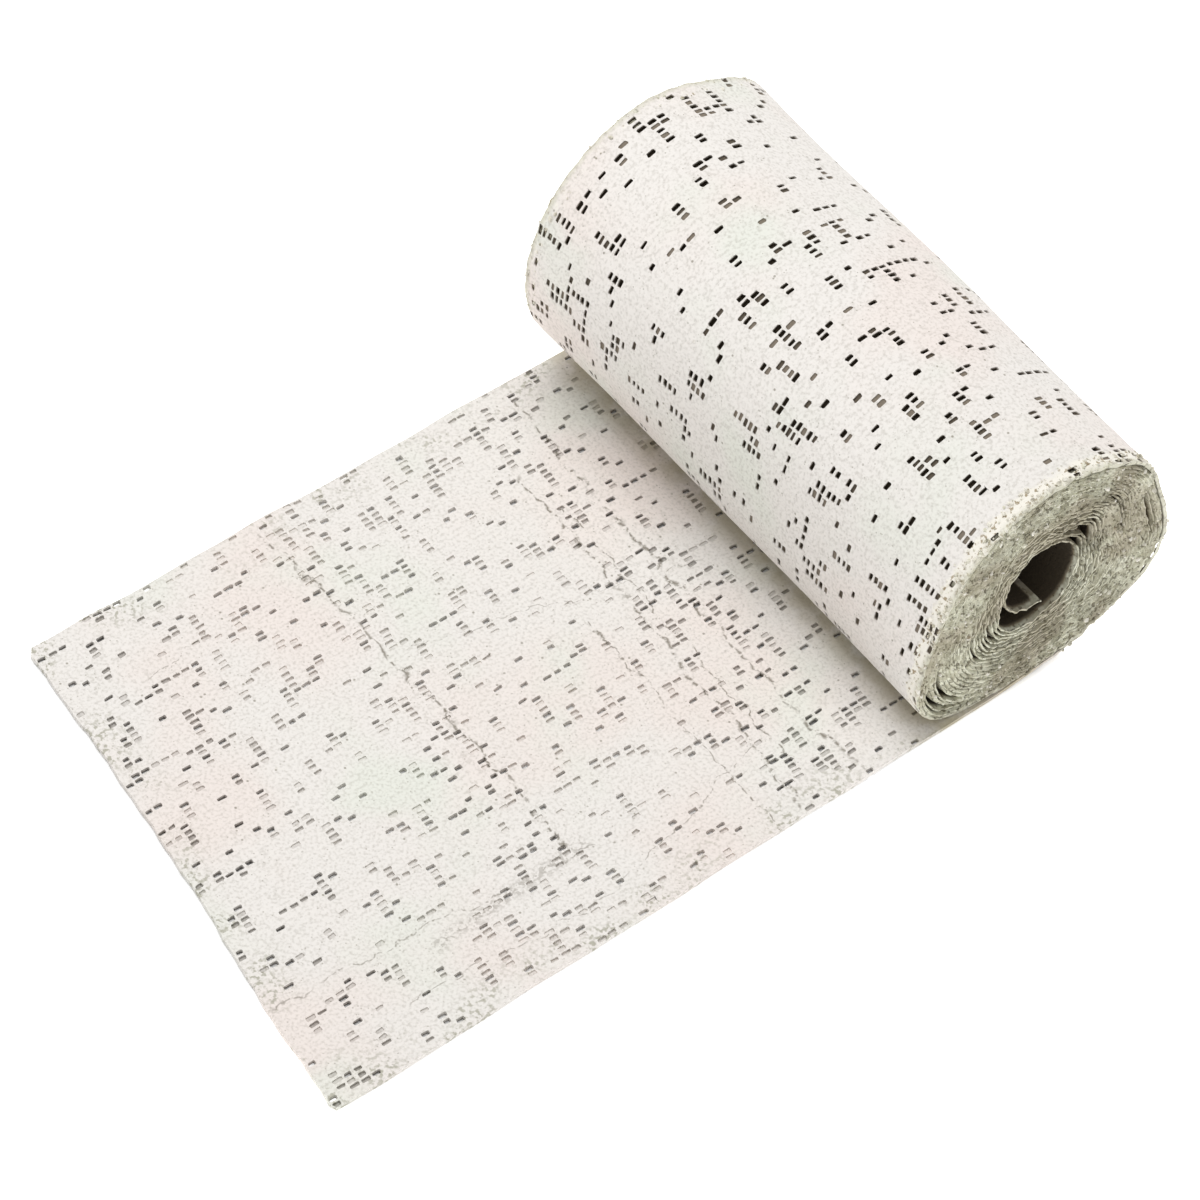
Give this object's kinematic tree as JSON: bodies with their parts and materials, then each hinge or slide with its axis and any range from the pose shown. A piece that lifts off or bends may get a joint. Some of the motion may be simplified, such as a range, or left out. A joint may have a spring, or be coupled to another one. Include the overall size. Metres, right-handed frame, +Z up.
{
  "type": "plaster bandage roll",
  "caption": "Strip of plaster-coated open gauze wound up around an empty bore, with its loose end laid out flat in front of the roll.",
  "frame": {"origin": "middle of the bounding box's bottom, on the surface that the bandage lies on", "axes": "+X along the strip from its cut end towards the roll, +Y along the roll's axis away from the near end face, +Z up"},
  "size_m": [0.174, 0.1024, 0.0541],
  "materials": {
    "plaster_gauze": "dry matte plaster on open gauze"
  },
  "bodies": {
    "root": {"wound_bandage": "plaster_gauze"}
  },
  "joints": []
}
